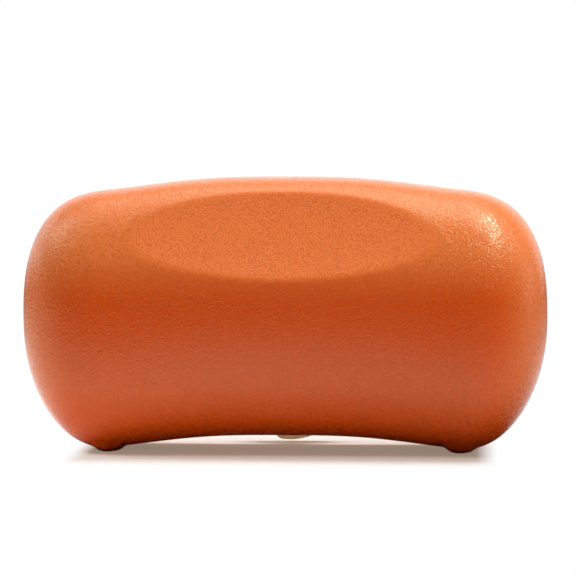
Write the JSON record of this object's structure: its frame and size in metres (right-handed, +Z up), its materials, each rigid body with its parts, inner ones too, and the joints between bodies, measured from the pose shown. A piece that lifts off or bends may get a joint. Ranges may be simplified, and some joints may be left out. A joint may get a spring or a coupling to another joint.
{
  "type": "bath pillow",
  "caption": "Kidney-bent moulded foam headrest for a bath with an oval head dish, standing on low feet, with suction cups on sockets in its flat back.",
  "frame": {"origin": "on the floor under the middle of the object's box, between the two feet", "axes": "+X along the pillow to the right seen from the front, +Y out of the flat back towards the bath wall, +Z up"},
  "size_m": [0.29, 0.101, 0.1515],
  "materials": {
    "skin": "satin moulded skin with a fine leather grain",
    "core": "open-cell foam",
    "plate": "plain moulded",
    "socket": "satin moulded",
    "ring": "plain moulded",
    "stud": "natural nylon",
    "cup": "soft translucent plastic"
  },
  "bodies": {
    "pillow": {"outer_skin": "skin", "foam_core": "core", "insert_plate": "plate", "socket_left": "socket", "lock_ring_left": "ring", "socket_right": "socket", "lock_ring_right": "ring", "socket_lower": "socket", "lock_ring_lower": "ring"},
    "stud_left": {"cup_stud_left": "stud"},
    "stud_right": {"cup_stud_right": "stud"},
    "stud_lower": {"cup_stud_lower": "stud"},
    "cup_left": {"suction_cup_left": "cup"},
    "cup_right": {"suction_cup_right": "cup"},
    "cup_lower": {"suction_cup_lower": "cup"}
  },
  "joints": [
    {"name": "stud_pull_left", "type": "slide", "parent": "pillow", "child": "stud_left", "axis": [0, 1, 0], "range_m": [0, 0.02]},
    {"name": "cup_swivel_left", "type": "hinge", "parent": "stud_left", "child": "cup_left", "pos_m": [-0.08, 0.0325, 0.10204], "axis": [0, 1, 0], "continuous": true},
    {"name": "stud_pull_right", "type": "slide", "parent": "pillow", "child": "stud_right", "axis": [0, 1, 0], "range_m": [0, 0.02]},
    {"name": "cup_swivel_right", "type": "hinge", "parent": "stud_right", "child": "cup_right", "pos_m": [0.08, 0.0325, 0.10204], "axis": [0, 1, 0], "continuous": true},
    {"name": "stud_pull_lower", "type": "slide", "parent": "pillow", "child": "stud_lower", "axis": [0, 1, 0], "range_m": [0, 0.02]},
    {"name": "cup_swivel_lower", "type": "hinge", "parent": "stud_lower", "child": "cup_lower", "pos_m": [0, 0.0325, 0.03705], "axis": [0, 1, 0], "continuous": true}
  ]
}
